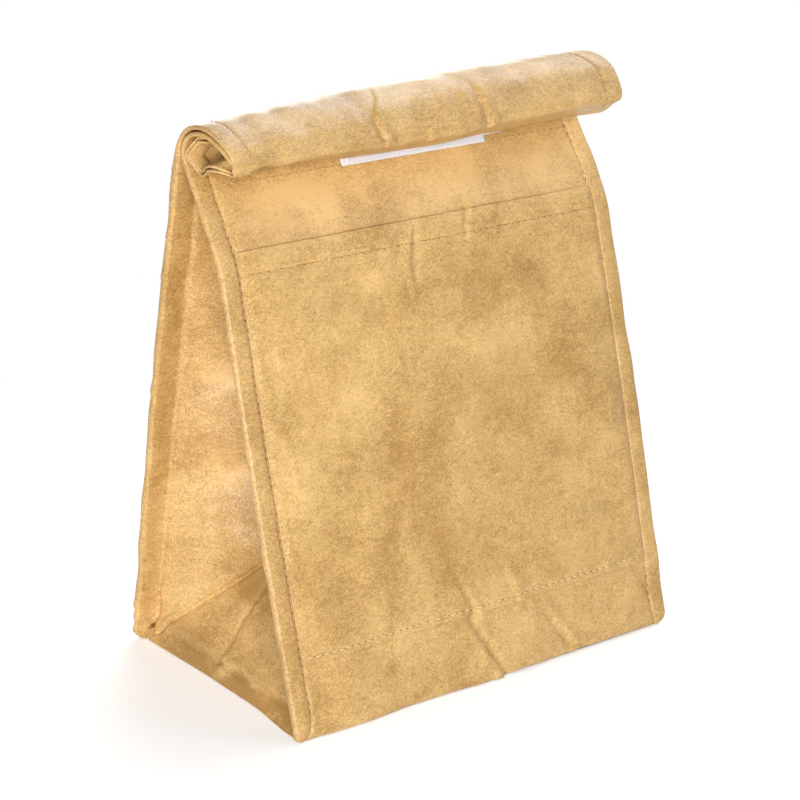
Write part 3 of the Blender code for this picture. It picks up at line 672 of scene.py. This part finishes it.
class Bag:
    """The sheet of the bag's body or of its roll as a grid of points: stations by ring columns."""

    def __init__(self, rolled):
        stations = Stations(rolled)
        self.stations = stations
        front = stations.face(False)
        right = stations.side(1)
        back = stations.face(True)[:, ::-1]
        left = stations.side(-1)[:, ::-1]
        self.grid = np.concatenate([front, right, back, left], 1)
        counts = [front.shape[1], right.shape[1], back.shape[1], left.shape[1]]
        self.starts = np.cumsum([0] + counts)
        self.rib_columns = 6 + 1 + RIB_ARC_STEPS + 1 + 2
        self.shape_front()
        self.shape_back()
        for region, sign in (("right", 1), ("left", -1)):
            self.shape_side(region, sign)
        self.shape_roll()
        self.bend_roll()
        self.crumple_ends()
        self.square_left_foot()
        low = self.grid[..., 2] < NECK_HEIGHT - 1e-6
        body = ~self.stations.in_roll[:, None] & low
        self.grid[..., 0] = np.where(body, widen(self.grid[..., 0], self.grid[..., 2]), self.grid[..., 0])
        self.grid -= self.normals() * (OVERLAP_STEP * stations.beyond)[:, None, None]

    def bend_roll(self):
        """The roll flares at its right end, lifts off the front there and sags at its middle."""
        x, place = self.grid[..., 0], self.stations.place
        in_roll = self.stations.in_roll[:, None]
        front = np.exp(-(((place - ROLL_FRONT_PLACE) / ROLL_FRONT_REACH) ** 2))[:, None] * in_roll
        x += ROLL_FLARE * front * ease((x - ROLL_FLARE_X) / ROLL_FLARE_FADE)
        lower = ease((place - ROLL_LOWER_PLACE) / ROLL_LOWER_FADE)[:, None] * in_roll
        self.grid[..., 2] += ROLL_END_LIFT * lower * ease((x - ROLL_LIFT_X) / ROLL_FADE)
        middle = ease((x - ROLL_SAG_LEFT_X) / ROLL_FADE) * ease((ROLL_SAG_RIGHT_X - x) / ROLL_FADE)
        self.grid[..., 1:] -= (ROLL_SAG * lower * middle)[..., None] * upper_front()[0]

    def crumple_ends(self):
        """The inner layers of the roll bend out of line towards its ends."""
        place = self.stations.place[:, None]
        x = self.grid[..., 0]
        spots = np.stack([x, 0.0030 * place + 0 * x, 0 * x], -1)
        near = ease((np.abs(x) - 0.066) / 0.024) * ease((place - 8.5) / 2.5) * np.where(x < 0, 1.0, 0.25)
        for axis, seed in ((1, 55), (2, 56)):
            self.grid[..., axis] += END_CRUMPLE * waves(spots, 0.0085, 12, seed) * near
        self.grid[..., 0] += 0.0016 * near * np.sin(1.9 * place) * -np.sign(x)

    def square_left_foot(self):
        """The left front seam stands square on its foot, where the others are rounded."""
        x, y, z = self.grid[..., 0], self.grid[..., 1], self.grid[..., 2]
        rounded, squarer = (
            radius - np.sqrt(radius**2 - np.maximum(radius - z, 0.0) ** 2)
            for radius in (SEAM_FOOT_RADIUS, LEFT_FOOT_RADIUS)
        )
        near = ease((-x - 0.084) / 0.008) * ease((-y - 0.020) / 0.030)
        self.grid[..., 0] -= (rounded - squarer) * near * ~self.stations.in_roll[:, None]

    def shape_front(self):
        body = ~self.stations.in_roll
        area = self.grid[np.ix_(body, self.columns("front"))]
        x, z = area[..., 0], area[..., 2]
        push = front_relief(x, z)
        out_y, out_z = front_out(z)
        bow, lift = foot_shift(x, z)
        inner = ease((HALF_WIDTH - SEAM_WIDTH - np.abs(x)) / 0.010)
        area[..., 1] += push * out_y + bow * inner
        area[..., 2] += push * out_z * ease(z / 0.004) + lift * inner
        self.grid[np.ix_(body, self.columns("front"))] = area

    def shape_back(self):
        body = ~self.stations.in_roll
        area = self.grid[np.ix_(body, self.columns("back"))]
        x, z = area[..., 0], area[..., 2]
        push = 0.00050 * waves(area, 0.065, 10, 21) + 0.00016 * waves(area, 0.022, 14, 22)
        push += 0.00008 * np.abs(waves(area, 0.010, 16, 23))
        inner = ease((HALF_WIDTH - SEAM_WIDTH - np.abs(x)) / 0.008)
        area[..., 1] += push * inner * ease(z / 0.006) * (1 - ease((z - 0.198) / 0.012))
        self.grid[np.ix_(body, self.columns("back"))] = area

    def shape_side(self, region, sign):
        """Wrinkles of a gusset and small dents of its ribs."""
        columns = self.columns(region)
        normal = self.normals()[:, columns]
        area = self.grid[:, columns]
        mirrored = area * np.array([-sign, 1.0, 1.0])
        count = len(columns)
        ribs = self.rib_columns
        place = np.arange(count) if sign > 0 else np.arange(count)[::-1]
        across = np.clip((place - ribs) / (count - 2 * ribs), 0, 1)
        z = area[..., 2]
        valley = (np.abs(across - 0.5) < 0.03) & (z > APEX_HEIGHT)
        inner = np.clip(5 * np.minimum(across, 1 - across), 0, 1) * np.where(valley, 0.3, 1.0)
        seed = 31 if sign < 0 else 41
        push = 0.00055 * waves(area, 0.034, 12, seed, (0.6, 0.6, 1.2))
        push += 0.00022 * waves(area, 0.013, 16, seed + 1, (0.7, 0.7, 1.2))
        push += 0.00018 * np.abs(waves(area, 0.011, 16, seed + 2, (0.8, 0.8, 1.2)))
        push += crease_push(mirrored, laid_on(mirrored, GUSSET_CREASES + FOOT_CREASES), (0.3, -0.2, 0.93))
        push += crease_push(mirrored, laid_on(mirrored, MIDDLE_CREASES), (0.0, -1.0, 0.0))
        fade = ease((z - 0.0004) / 0.004) * (1 - ease((z - 0.170) / 0.030))
        push = push * inner * fade * ~self.stations.in_roll[:, None]
        rib = np.clip(1 - inner * 2, 0, 1) * ~self.stations.in_roll[:, None]
        dents = crease_push(mirrored, laid_on(mirrored, RIB_CREASES), (0, 0, 1.0))
        dents += 0.00016 * waves(area, 0.017, 12, seed + 3)
        push += dents * rib * ease((z - 0.002) / 0.008) * (1 - ease((z - 0.205) / 0.008))
        crumpled = np.linalg.norm(mirrored - CRUMPLED_CORNER, axis=-1)
        crumple = 0.0005 * waves(area, 0.0060, 16, seed + 4)
        crumple -= 0.0004 * np.abs(waves(area, 0.0040, 16, seed + 5))
        push += crumple * np.exp(-((crumpled / 0.0085) ** 2)) * ease(z / 0.002)
        self.grid[:, columns] = area + normal * push[..., None]

    def shape_roll(self):
        """Creases and soft waves on the outer skin of the roll."""
        columns = self.columns("back")
        normal = self.normals()[:, columns]
        area = self.grid[:, columns]
        push = 0.00035 * waves(area, 0.034, 12, 51, (1.0, 0.5, 0.5))
        push += 0.00013 * waves(area, 0.012, 16, 52, (1.0, 0.7, 0.7))
        push += crease_push(area, laid_on(area, ROLL_CREASES))
        fade = ease((self.stations.place - 0.5) / 1.5) * (1 - ease((self.stations.place - 9) / 3))
        inner = ease((HALF_WIDTH - SEAM_WIDTH - np.abs(area[..., 0])) / 0.008)
        push = push * fade[:, None] * inner * (self.stations.place >= 0)[:, None]
        self.grid[:, columns] = area + normal * push[..., None]

    def columns(self, region):
        index = ("front", "right", "back", "left").index(region)
        return np.arange(self.starts[index], self.starts[index + 1])

    def normals(self):
        along = np.gradient(self.grid, axis=0)
        around = np.roll(self.grid, -1, 1) - np.roll(self.grid, 1, 1)
        normal = np.cross(around, along)
        return normal / np.maximum(np.linalg.norm(normal, axis=-1, keepdims=True), 1e-12)

    def mesh(self, name):
        rows, columns = self.grid.shape[:2]
        index = np.arange(rows * columns).reshape(rows, columns)
        following = np.roll(index, -1, 1)
        quads = np.stack([index[:-1], following[:-1], following[1:], index[1:]], -1).reshape(-1, 4)
        faces = quads.tolist() + [index[0, ::-1].tolist(), index[-1].tolist()]
        return make_mesh(name, self.grid.reshape(-1, 3).tolist(), faces)


def make_mesh(name, points, faces):
    data = bpy.data.meshes.new(name)
    data.from_pydata(points, [], faces)
    data.shade_smooth()
    data.update()
    made = bpy.data.objects.new(name, data)
    bpy.context.scene.collection.objects.link(made)
    return made


def slab(name, outer, inner):
    """A closed sheet between two grids of points of the same size."""
    rows, columns = outer.shape[:2]
    index = np.arange(rows * columns).reshape(rows, columns)
    under = index + rows * columns
    front = np.stack([index[:-1, :-1], index[:-1, 1:], index[1:, 1:], index[1:, :-1]], -1).reshape(-1, 4)
    back = np.stack([under[:-1, :-1], under[1:, :-1], under[1:, 1:], under[:-1, 1:]], -1).reshape(-1, 4)
    faces = front.tolist() + back.tolist()
    rim = np.concatenate([index[0], index[1:, -1], index[-1, -2::-1], index[-2:0:-1, 0]])
    for first, second in zip(rim, np.roll(rim, -1)):
        faces.append([int(second), int(first), int(first + rows * columns), int(second + rows * columns)])
    points = np.concatenate([outer.reshape(-1, 3), inner.reshape(-1, 3)])
    return make_mesh(name, points.tolist(), faces)


def pocket_points(x, z, lift):
    """Points at a distance out of the bag's creased front."""
    out_y, out_z = front_out(z)
    bow, raised = foot_shift(x, z)
    push = front_relief(x, z) + lift
    y = front_face(x, z) + push * out_y + bow
    return np.stack([widen(x, z), y, z + push * out_z + raised], -1)


def pocket():
    """The flat pocket: sewn down at its sides and foot, with a turned hem along its open top."""
    hem = np.linspace(POCKET_TOP - 0.0004, POCKET_TOP, 3)
    rows = np.unique(np.round(np.concatenate([
        np.arange(POCKET_FOOT, 0.036, 0.0006), np.arange(0.036, 0.171, 0.0009),
        np.arange(0.171, POCKET_TOP - 0.0006, 0.0006), hem,
    ]), 6))
    sides = POCKET_SIDE - POCKET_TUCK * np.array([0.0, 0.12, 0.3, 0.5, 0.75])
    middle = POCKET_SIDE - POCKET_TUCK
    columns = np.concatenate([-sides, np.linspace(-middle, middle, 205), sides[::-1]])
    x, z = np.meshgrid(columns, rows)
    tuck = ease((POCKET_SIDE - np.abs(x)) / POCKET_TUCK)
    away = ease((POCKET_SIDE - np.abs(x)) / 0.010)
    hemmed = ease((z - HEM_STITCH) / 0.0012)
    lift = (POCKET_GAP + POCKET_SHEET) * tuck + HEM_LIFT * hemmed * away
    groove = np.exp(-(((z - HEM_STITCH) / 0.0006) ** 2)) + np.exp(-(((z - FOOT_STITCH) / 0.0006) ** 2))
    lift -= 0.00045 * groove * tuck
    points = np.stack([x, 0 * x, z], -1)
    puckers = waves(points, 0.0065, 12, 61, (1.0, 1.0, 0.3))
    near = np.exp(-(((z - HEM_STITCH) / 0.004) ** 2)) + np.exp(-(((z - FOOT_STITCH) / 0.004) ** 2))
    lift += 0.00014 * puckers * near * tuck
    gape = np.clip((z - HEM_STITCH) / (POCKET_TOP - HEM_STITCH), 0, 1)
    lift += 0.00035 * gape * away * (0.6 + 0.4 * waves(points, 0.045, 8, 62))
    round_top = np.clip(1 - (POCKET_TOP - z) / 0.0004, 0, 1) ** 2
    lift -= 0.00030 * round_top * tuck
    inner = np.minimum(POCKET_GAP * 0.5 * tuck, lift - 0.0001)
    inner = np.where(tuck < 0.05, lift - 0.0003, inner + 0.00035 * gape * away * 0.5)
    inner = np.minimum(inner, lift - 0.0002)
    return slab("pocket_sheet", pocket_points(x, z, lift), pocket_points(x, z, inner))


def strip(name, length, centre_x, foot, top, lift, pile, seed, turn=0.0):
    """A fastening strip with rounded edges and a fine pile, along the front above its shoulder."""
    up_panel, out_of_panel = upper_front()
    low = NECK_HEIGHT - foot
    width = (foot - top) / up_panel[1]
    x_steps, up_steps = int(length / 0.0004), int(width / 0.0004)
    x, up = np.meshgrid(np.linspace(-length / 2, length / 2, x_steps), np.linspace(0, width, up_steps))
    edge = np.minimum(length / 2 - np.abs(x), np.minimum(up, width - up))
    rounded = 1 - np.sqrt(1 - np.clip(edge / 0.0004, 0, 1)) * 0.5
    spread = np.random.default_rng(seed)
    height = lift + STRIP_THICKNESS * rounded + pile * spread.uniform(-1, 1, x.shape) * (edge > 0.0002)
    woven = 0.5 + 0.5 * np.cos(2 * math.pi * up / 0.0012)
    height = height + pile * woven * (edge > 0.0002)
    climb = up + turn * x
    seat_y = front_line(np.full_like(x, low)) + climb * up_panel[0]
    seat_z = low + climb * up_panel[1]

    def laid(distance):
        y = seat_y + out_of_panel[0] * distance
        return np.stack([centre_x + x, y, seat_z + out_of_panel[1] * distance], -1)

    return slab(name, laid(height), laid(np.full_like(x, lift)))


def strips():
    top = LOOP_FOOT_BELOW_NECK - LOOP_WIDTH * upper_front()[0][1]
    loop = strip(
        "loop_strip_pile", LOOP_LENGTH, LOOP_CENTRE_X, LOOP_FOOT_BELOW_NECK, top, CLEARANCE, LOOP_PILE, 71,
    )
    hook = strip(
        "hook_strip_tape", HOOK_LENGTH, HOOK_CENTRE_X, LOOP_FOOT_BELOW_NECK - HOOK_SHOWS_LOOP,
        top + HOOK_TURN * HOOK_LENGTH / 2, 3 * CLEARANCE + STRIP_THICKNESS, HOOK_PILE, 72, HOOK_TURN,
    )
    return loop, hook


def resampled(path, normals, pitch):
    """Evenly spaced places along a path, with their normals and headings."""
    steps = np.linalg.norm(np.diff(path, axis=0), axis=1)
    run = np.concatenate([[0.0], np.cumsum(steps)])
    places = np.arange(pitch / 2, run[-1], pitch)

    def at(values, where):
        return np.stack([np.interp(where, run, values[:, axis]) for axis in range(3)], -1)

    heading = at(path, places + pitch / 6) - at(path, places - pitch / 6)
    heading /= np.maximum(np.linalg.norm(heading, axis=1, keepdims=True), 1e-9)
    out = at(normals, places)
    out /= np.maximum(np.linalg.norm(out, axis=1, keepdims=True), 1e-9)
    return at(path, places), heading, out


def sewing(name, paths, seed):
    """Rows of short stitches, each a bent tube whose ends dive into the sheet."""
    spread = np.random.default_rng(seed)
    along = np.array([-1.0, -0.8, -0.4, 0.0, 0.4, 0.8, 1.0])
    sizes = np.array([0.35, 0.8, 1.0, 1.05, 1.0, 0.8, 0.35])
    sinks = np.array([-1.6, -0.7, 0.0, 0.25, 0.0, -0.7, -1.6])
    turns = np.linspace(0, 2 * math.pi, 7)[:-1]
    points, faces, holes, hole_faces = [], [], [], []
    for path, normals in paths:
        for centre, heading, out in zip(*resampled(path, normals, STITCH_PITCH)):
            side = np.cross(heading, out)
            heading = heading + side * spread.uniform(-0.05, 0.05)
            base = len(points)
            for place, size, sink in zip(along, sizes, sinks):
                raised = THREAD_RADIUS * (sink + 0.45)
                middle = centre + heading * (place * STITCH_LENGTH / 2) + out * raised
                for turn in turns:
                    around = side * math.cos(turn) + out * math.sin(turn)
                    points.append(middle + around * THREAD_RADIUS * size)
            for ring in range(len(along) - 1):
                for step in range(6):
                    following = (step + 1) % 6
                    row, above = base + ring * 6, base + ring * 6 + 6
                    faces.append((row + step, row + following, above + following, above + step))
            faces.append(tuple(base + step for step in range(5, -1, -1)))
            faces.append(tuple(base + (len(along) - 1) * 6 + step for step in range(6)))
            # Each needle hole is a small dark double cone just proud of the sheet: painted shade inside the
            # hole
            hole = centre + heading * (STITCH_PITCH / 2)
            first = len(holes)
            for turn in turns:
                around = side * math.cos(turn) + heading * math.sin(turn)
                holes.append(hole + around * HOLE_RADIUS + out * 0.00003)
            holes.append(hole + out * 0.00010)
            holes.append(hole - out * 0.00025)
            for step in range(6):
                following = (step + 1) % 6
                hole_faces.append((first + step, first + following, first + 6))
                hole_faces.append((first + following, first + step, first + 7))
    thread = make_mesh(name, [tuple(p) for p in points], faces)
    pricks = make_mesh(name + "_holes", [tuple(p) for p in holes], hole_faces)
    return thread, pricks


def seam_path(part, region, order, rib, kept):
    """Points and normals along one seam's stitch crease."""
    columns = part.columns(region)[::order][rib]
    path, out = part.grid[:, columns].mean(1), part.normals()[:, columns].mean(1)
    return path[kept], out[kept]


def sewing_paths(body, roll):
    """Where the seams are sewn: along the ribs, round the roll, and across the front."""
    front_rib, back_rib = slice(2, 4), slice(-4, -2)
    foot = body.stations.z > 0.0065
    below_roll = foot & (body.stations.z < NECK_HEIGHT - 0.006)
    turned = (roll.stations.place > 0) & (roll.stations.place < 10.2)
    paths, bright = [], []
    for region, order in (("right", 1), ("left", -1)):
        front = bright if region == "right" else paths
        front.append(seam_path(body, region, order, front_rib, below_roll))
        low = seam_path(body, region, order, back_rib, foot)
        high = seam_path(roll, region, order, back_rib, turned)
        paths.append((np.concatenate([low[0], high[0]]), np.concatenate([low[1], high[1]])))
    x = np.linspace(-POCKET_SIDE + 0.002, POCKET_SIDE - 0.002, 240)
    level = POCKET_GAP + POCKET_SHEET
    for rows, z, lift in ((paths, HEM_STITCH, level - 0.00020), (bright, FOOT_STITCH, level - 0.00022)):
        out_y, out_z = front_out(np.full_like(x, z))
        rows.append((pocket_points(x, np.full_like(x, z), lift), np.stack([0 * x, out_y, out_z], -1)))
    z = NECK_HEIGHT - MOUTH_STITCH_BELOW_NECK
    for low, high in ((-0.0875, -0.0305), (0.0470, 0.0900)):
        x = np.linspace(low, high, 80)
        out_y, out_z = front_out(np.full_like(x, z))
        paths.append((pocket_points(x, np.full_like(x, z), 0.00002), np.stack([0 * x, out_y, out_z], -1)))
    return paths, bright


def add_node(tree, kind, inputs, output=0, **settings):
    """A shader node with its inputs set to values or linked to sockets; gives one of its outputs."""
    node = tree.nodes.new("ShaderNode" + kind)
    for name, value in settings.items():
        setattr(node, name, value)
    for key, value in inputs.items():
        if isinstance(value, bpy.types.NodeSocket):
            tree.links.new(value, node.inputs[key])
        else:
            node.inputs[key].default_value = value
    return node.outputs[output]


def new_material(name):
    """A material, its node tree and its shader's inputs."""
    made = bpy.data.materials.new(name)
    made.use_nodes = True
    return made, made.node_tree, made.node_tree.nodes["Principled BSDF"].inputs


def kraft(name, brown):
    """Laminated kraft sheet: mottled brown with a fine grain under a soft gloss, with patches of painted
    shade and painted highlight.
    """
    made, tree, paint = new_material(name)
    place = add_node(tree, "TexCoord", {}, "Object")

    def noise(scale, detail, rough=0.5, stretch=(1.0, 1.0, 1.0), shift=(0.0, 0.0, 0.0)):
        spot = add_node(tree, "Mapping", {"Vector": place, "Scale": stretch, "Location": shift})
        inputs = {"Vector": spot, "Scale": scale, "Detail": detail, "Roughness": rough}
        return add_node(tree, "TexNoise", inputs, "Fac")

    def maths(kind, first, second, clamp=False):
        return add_node(tree, "Math", {0: first, 1: second}, operation=kind, use_clamp=clamp)

    def vectors(kind, first, second):
        return add_node(tree, "VectorMath", {0: first, 1: second}, operation=kind)

    def ramp(source, low, high, low_value, high_value):
        inputs = {"From Min": low, "From Max": high, "To Min": low_value, "To Max": high_value}
        return add_node(tree, "MapRange", {"Value": source, **inputs})

    def blend(factor, first, second):
        return add_node(tree, "Mix", {"Factor": factor, 6: first, 7: second}, 2, data_type="RGBA")

    def tinted(shares):
        return (*(part * share for part, share in zip(brown, shares)), 1.0)

    tone = None
    for scale, detail, rough, stretch, weight in PRINT_LAYERS:
        centred = maths("MULTIPLY", maths("SUBTRACT", noise(scale, detail, rough, stretch), 0.5), weight)
        tone = centred if tone is None else maths("ADD", tone, centred)
    warp = add_node(tree, "TexNoise", {"Vector": place, "Scale": 55.0, "Detail": 3.0}, "Color")
    shift = vectors("MULTIPLY", vectors("SUBTRACT", warp, (0.5, 0.5, 0.5)), (PATCH_WARP,) * 3)
    warped = vectors("ADD", place, shift)
    # Patches from the table: mottle, and painted shade and painted highlight
    for centre, halves, amount in TONE_AND_LIGHT_PATCHES:
        offset = vectors("SUBTRACT", warped, tuple(value / 1000 for value in centre))
        scaled = vectors("MULTIPLY", offset, tuple(1000 / (PATCH_SPREAD * value) for value in halves))
        reach = add_node(tree, "VectorMath", {0: scaled}, "Value", operation="LENGTH")
        inputs = {"Value": reach, "To Min": amount, "To Max": 0.0}
        tone = maths("ADD", tone, add_node(tree, "MapRange", inputs, interpolation_type="SMOOTHSTEP"))
    colour = blend(maths("ADD", tone, 0.5, True), tinted(DARK_SHARE), tinted(PALE_SHARE))
    ruddy = ramp(noise(26.0, 4.0, 0.6, shift=(0.3, 0.1, 0.7)), 0.54, 0.72, 0.0, 0.30)
    tree.links.new(blend(ruddy, colour, tinted(RUDDY_SHARE)), paint["Base Color"])
    tree.links.new(ramp(noise(120.0, 4.0), 0.3, 0.7, 0.40, 0.56), paint["Roughness"])
    paint["Specular IOR Level"].default_value = 0.5
    paint["Coat Weight"].default_value = 0.22
    paint["Coat Roughness"].default_value = 0.30
    fine = maths("MULTIPLY", noise(380.0, 4.0, 0.6), 0.7)
    coarse = maths("MULTIPLY", noise(120.0, 3.0, 0.5), 0.9)
    relief = {"Strength": 0.35, "Distance": 0.0004, "Height": maths("ADD", fine, coarse)}
    tree.links.new(add_node(tree, "Bump", relief), paint["Normal"])
    return made


def fibre(name, colour, roughness, grain=2600.0, contrast=0.10):
    """Thread, pile or tape: one colour broken by a fine fibre grain."""
    made, tree, paint = new_material(name)
    place = add_node(tree, "TexCoord", {}, "Object")
    grains = add_node(tree, "TexNoise", {"Vector": place, "Scale": grain, "Detail": 2.0}, "Fac")
    low = (*(part * (1 - 2 * contrast) for part in colour), 1.0)
    high = (*(min(1.0, part * (1 + 2 * contrast)) for part in colour), 1.0)
    mixed = add_node(tree, "Mix", {"Factor": grains, 6: low, 7: high}, 2, data_type="RGBA")
    tree.links.new(mixed, paint["Base Color"])
    paint["Roughness"].default_value = roughness
    bump = add_node(tree, "Bump", {"Strength": 0.4, "Distance": 0.0002, "Height": grains})
    tree.links.new(bump, paint["Normal"])
    return made


def camera():
    data = bpy.data.cameras.new("camera")
    data.sensor_width = SENSOR_WIDTH
    data.lens = SENSOR_WIDTH * FOCAL_SHARE
    data.clip_start, data.clip_end = 0.01, 20
    made = bpy.data.objects.new("camera", data)
    place, aim = Vector(CAMERA_PLACE), Vector(CAMERA_AIM)
    turn = (aim - place).to_track_quat("-Z", "Y").to_matrix()
    made.matrix_world = Matrix.Translation(place) @ (turn @ Matrix.Rotation(CAMERA_ROLL, 3, "Z")).to_4x4()
    bpy.context.scene.collection.objects.link(made)
    bpy.context.scene.camera = made


def soft_lamp(name, place, aim, size, power):
    data = bpy.data.lights.new(name, "AREA")
    data.shape = "RECTANGLE"
    data.size, data.size_y = size
    data.energy = power
    made = bpy.data.objects.new(name, data)
    made.location = place
    made.rotation_mode = "QUATERNION"
    made.rotation_quaternion = (Vector(aim) - Vector(place)).to_track_quat("-Z", "Y")
    bpy.context.scene.collection.objects.link(made)


def seen_by(tree, first, second):
    """1 for rays of two kinds and 0 for all others."""
    rays = tree.nodes.new("ShaderNodeLightPath").outputs
    return add_node(tree, "Math", {0: rays[first], 1: rays[second]}, operation="MAXIMUM")


def floor_paint():
    """A plain pale floor that fades into the white around it, and throws back little light."""
    made, tree, paint = new_material("floor paint")
    seen = seen_by(tree, "Is Camera Ray", "Is Glossy Ray")
    shades = {"Factor": seen, 6: (*FLOOR_BOUNCE, 1.0), 7: FLOOR_COLOUR}
    tree.links.new(add_node(tree, "Mix", shades, 2, data_type="RGBA"), paint["Base Color"])
    paint["Roughness"].default_value = 0.9
    paint["Specular IOR Level"].default_value = 0.0
    paint["Emission Color"].default_value = WHITE
    glow = add_node(tree, "Math", {0: seen, 1: FLOOR_GLOW}, operation="MULTIPLY")
    tree.links.new(glow, paint["Emission Strength"])
    place = add_node(tree, "TexCoord", {}, "Object")
    reach = add_node(tree, "VectorMath", {0: place}, "Value", operation="LENGTH")
    span = {"Value": reach, "From Min": FLOOR_FADE_START, "From Max": FLOOR_FADE_END}
    far = add_node(tree, "Math", {0: add_node(tree, "MapRange", span), 1: seen}, operation="MULTIPLY")
    near = tree.nodes["Principled BSDF"].outputs["BSDF"]
    white = add_node(tree, "Emission", {"Color": WHITE, "Strength": 1.0})
    shown = add_node(tree, "MixShader", {"Fac": far, 1: near, 2: white})
    tree.links.new(shown, tree.nodes["Material Output"].inputs["Surface"])
    return made


def studio():
    world = bpy.data.worlds.new("studio")
    world.use_nodes = True
    bpy.context.scene.world = world
    tree = world.node_tree
    tree.nodes.clear()
    room = add_node(tree, "Background", {"Color": ROOM_COLOUR, "Strength": ROOM_LIGHT})
    plain = add_node(tree, "Background", {"Color": WHITE, "Strength": 1.0})
    seen = seen_by(tree, "Is Camera Ray", "Is Transmission Ray")
    shown = add_node(tree, "MixShader", {"Fac": seen, 1: room, 2: plain})
    tree.links.new(shown, tree.nodes.new("ShaderNodeOutputWorld").inputs["Surface"])
    for lamp in LAMPS:
        soft_lamp(*lamp)
    spread = ((-1, -1), (1, -1), (1, 1), (-1, 1))
    corners = [(x * FLOOR_REACH, y * FLOOR_REACH, FLOOR_HEIGHT) for x, y in spread]
    floor = make_mesh("floor", corners, [(0, 1, 2, 3)])
    floor.data.materials.append(floor_paint())


def add_piece(piece, finish, replaced=None):
    piece.data.materials.append(finish)
    if replaced:
        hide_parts(replaced)
    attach(piece, "root")


def main():
    body, roll = Bag(False), Bag(True)
    paper = kraft("kraft laminate", BODY_BROWN)
    add_piece(body.mesh("bag_sheet"), paper, "bag_body")
    add_piece(roll.mesh("roll_sheet"), paper, "bag_body")
    flap = pocket()
    add_piece(flap, kraft("kraft pocket", POCKET_BROWN), "front_pocket")
    loop, hook = strips()
    add_piece(loop, fibre("white pile", (0.80, 0.80, 0.85), 0.9, 2200.0), "loop_strip")
    add_piece(hook, fibre("white tape", (0.80, 0.79, 0.86), 0.6, 1600.0, 0.06), "hook_strip")
    plain, bright = sewing_paths(body, roll)
    # Dark brown for the needle holes: painted shade in the holes
    hole_shade = fibre("needle hole shade", (0.26, 0.135, 0.045), 0.9)
    for name, paths, colour, seed in (
        ("sewing_thread", plain, (0.62, 0.40, 0.16), 81), ("bright_thread", bright, (0.80, 0.63, 0.37), 82),
    ):
        thread, pricks = sewing(name, paths, seed)
        add_piece(thread, fibre(name + " fibre", colour, 0.6))
        add_piece(pricks, hole_shade)
    camera()
    studio()
    bpy.context.scene.view_settings.view_transform = "Standard"


main()
